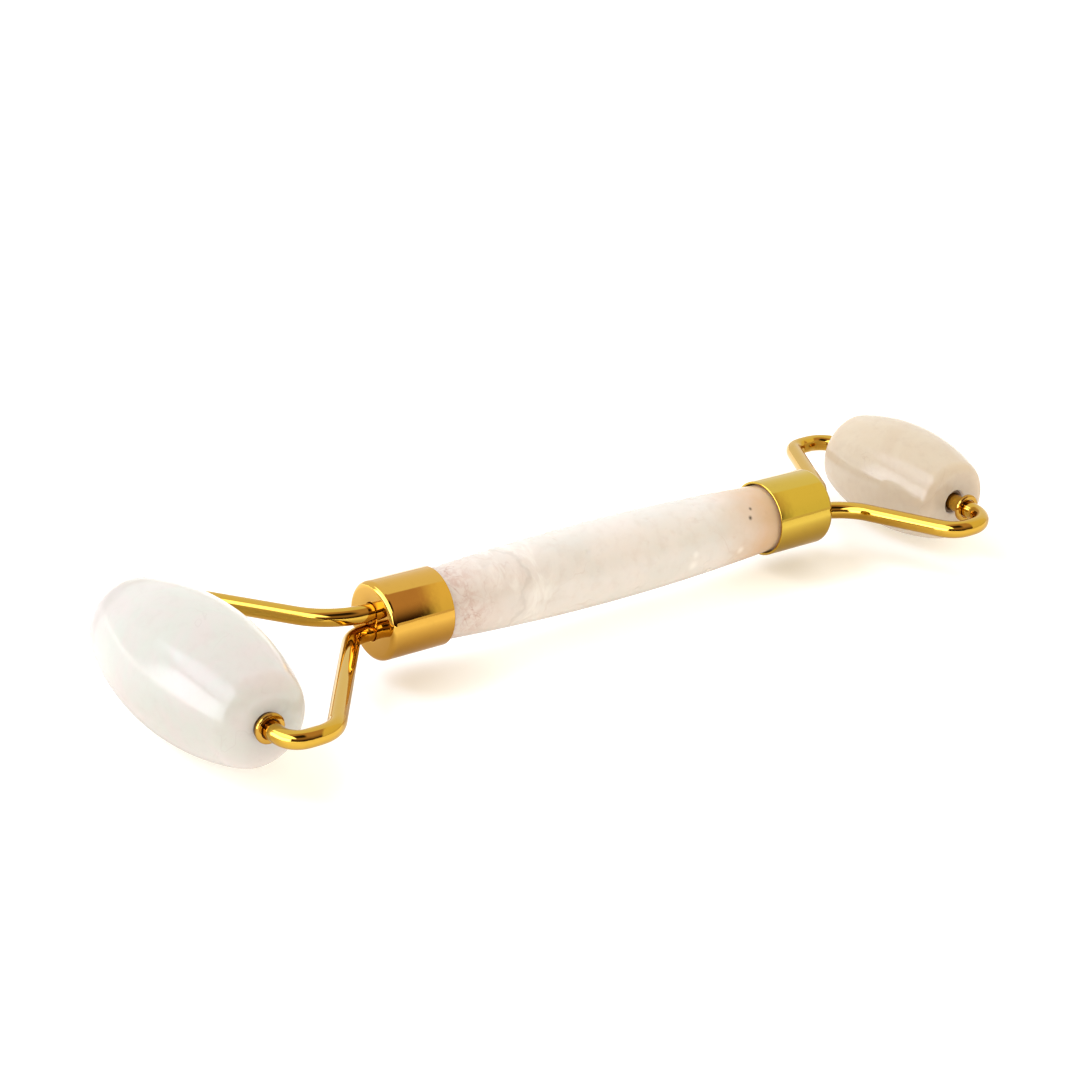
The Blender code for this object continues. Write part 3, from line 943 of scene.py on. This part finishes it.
def add_world():
    """A studio that is bright to the left and behind, and dim and warm on the camera's side.

    Only mirrored rays see it. Scattered light comes evenly from all round, and the camera sees white.
    """
    world = bpy.data.worlds.new("studio")
    bpy.context.scene.world = world
    world.use_nodes = True
    nodes = Nodes(world.node_tree)
    direction = nodes.add("ShaderNodeTexCoord").outputs["Generated"]
    x = nodes.axis(direction, "X")
    y = nodes.axis(direction, "Y")
    z = nodes.axis(direction, "Z")

    # The camera's side above the horizon is a warm dim room, darkest just above the card's edge.
    height = nodes.ramp(z, 0.1, 0.75, 0.0, 1.0)
    room = nodes.mix(height, ROOM_LOW, ROOM_HIGH)
    room = nodes.mix(nodes.ramp(x, 0.52, 0.58, 0.0, 0.85), room, ROOM_RIGHT)
    photographer = nodes.math("MULTIPLY", nodes.ramp(y, -0.2, -0.4), nodes.ramp(z, 0.5, 0.75))
    room = nodes.laid_on(room, PHOTOGRAPHER, 1.0, photographer, nodes.ramp(x, 0.25, 0.05))
    # Behind the tool the studio is bright, from an edge a little past the middle.
    behind = nodes.ramp(y, 0.02, 0.09)
    studio = nodes.mix(behind, room, STUDIO_BEHIND)
    # A tall window low on the left, and a softer one above it.
    window = nodes.math("MULTIPLY", nodes.ramp(x, -0.68, -0.78), nodes.ramp(z, 0.5, 0.4))
    window = nodes.math("MULTIPLY", window, nodes.ramp(y, -0.62, -0.5))
    studio = nodes.mix(window, studio, WINDOW)
    roof = nodes.math("MULTIPLY", nodes.ramp(x, -0.42, -0.52), nodes.ramp(z, 0.5, 0.55))
    studio = nodes.mix(roof, studio, ROOF_WINDOW)
    # On the right the card goes on a little above the horizon. On the left the room is dark there.
    card = nodes.math("MULTIPLY", nodes.ramp(z, 0.105, 0.095), nodes.ramp(x, 0.1, 0.3))
    studio = nodes.mix(card, studio, CARD)

    path = nodes.add("ShaderNodeLightPath")
    ambient = nodes.mix(path.outputs["Is Glossy Ray"], AMBIENT, studio)
    seen = nodes.mix(path.outputs["Is Camera Ray"], ambient, WHITE)
    background = nodes.add("ShaderNodeBackground")
    nodes.feed(background, {"Color": seen, "Strength": 1.0})
    output = nodes.add("ShaderNodeOutputWorld")
    world.node_tree.links.new(background.outputs[0], output.inputs["Surface"])


def add_light(name, place, size, power, colour):
    """A square soft light that faces the tool and isn't mirrored in it."""
    data = bpy.data.lights.new(name, "AREA")
    data.size = size
    data.energy = power
    data.color = colour
    light = bpy.data.objects.new(name, data)
    light.location = place
    light.rotation_mode = "QUATERNION"
    light.rotation_quaternion = (-Vector(place)).to_track_quat("-Z", "Y")
    light.visible_glossy = False
    bpy.context.scene.collection.objects.link(light)


def add_camera():
    back = Vector((
        math.sin(CAMERA_AZIMUTH) * math.cos(CAMERA_ELEVATION),
        -math.cos(CAMERA_AZIMUTH) * math.cos(CAMERA_ELEVATION),
        math.sin(CAMERA_ELEVATION),
    ))
    data = bpy.data.cameras.new("camera")
    data.sensor_width = 36.0
    data.lens = CAMERA_LENS
    data.clip_start = 0.01
    data.clip_end = 20.0
    camera = bpy.data.objects.new("camera", data)
    camera.location = CAMERA_TARGET + CAMERA_DISTANCE * back
    camera.rotation_mode = "QUATERNION"
    camera.rotation_quaternion = (-back).to_track_quat("-Z", "Y") @ Quaternion((0, 0, 1), CAMERA_ROLL)
    bpy.context.scene.collection.objects.link(camera)
    bpy.context.scene.camera = camera


STONES = (
    Stone(
        name="handle_quartz",
        clear=(0.6, 0.57, 0.52),
        cloudy=(0.64, 0.59, 0.54),
        vein=(0.5, 0.4, 0.34),
        seed=2.0,
        glow=0.06,
        tint=handle_tint,
    ),
    Stone(
        name="large_roller_quartz",
        clear=(0.39, 0.39, 0.34),
        cloudy=(0.42, 0.37, 0.34),
        vein=(0.34, 0.29, 0.26),
        seed=14.0,
        glow=0.33,
        tint=painted_far_end_shade_and_ring,
    ),
    Stone(
        name="small_roller_quartz",
        clear=(0.43, 0.35, 0.24),
        cloudy=(0.41, 0.32, 0.21),
        vein=(0.3, 0.2, 0.12),
        seed=27.0,
        glow=0.26,
    ),
)

GOLDS = (
    Plate("large_ferrule_gold", (0.64, 0.36, 0.06), 1.0, (0.12, 1.0, 1.0)),
    Plate("small_ferrule_gold", (0.6, 0.41, 0.06), 9.0, (0.12, 1.0, 1.0)),
    Plate("wire_gold", (0.6, 0.36, 0.05), 17.0, (0.4, 0.4, 1.0)),
    Plate("collar_gold", (0.52, 0.29, 0.05), 23.0, (1.0, 0.2, 1.0)),
)


def build():
    large = End("large", -1)
    small = End("small", 1)
    handle, large_stone, small_stone = [quartz(stone) for stone in STONES]
    orange_gold, yellow_gold, wire_gold, collar_gold = [gold(plate) for plate in GOLDS]
    bush = nylon("bush_nylon")
    bond = adhesive("bond_resin")

    add_handle(handle)
    ends = ((large, large_stone, orange_gold, 40.0), (small, small_stone, yellow_gold, 60.0))
    for end, stone, ferrule_gold, seed in ends:
        add_ferrule(end, ferrule_gold)
        add_braze(end, ferrule_gold)
        add_fork(end, wire_gold)
        add_roller(end, stone, seed)
        add_bushes_and_collars(end, bush, collar_gold)
        finish_bond(end, bond)
    add_floor(large, small)


def light_and_view():
    add_world()
    add_light("key", KEY_PLACE, KEY_SIZE, KEY_POWER, KEY_COLOUR)
    add_camera()
    bpy.context.scene.view_settings.view_transform = "Standard"


build()
light_and_view()
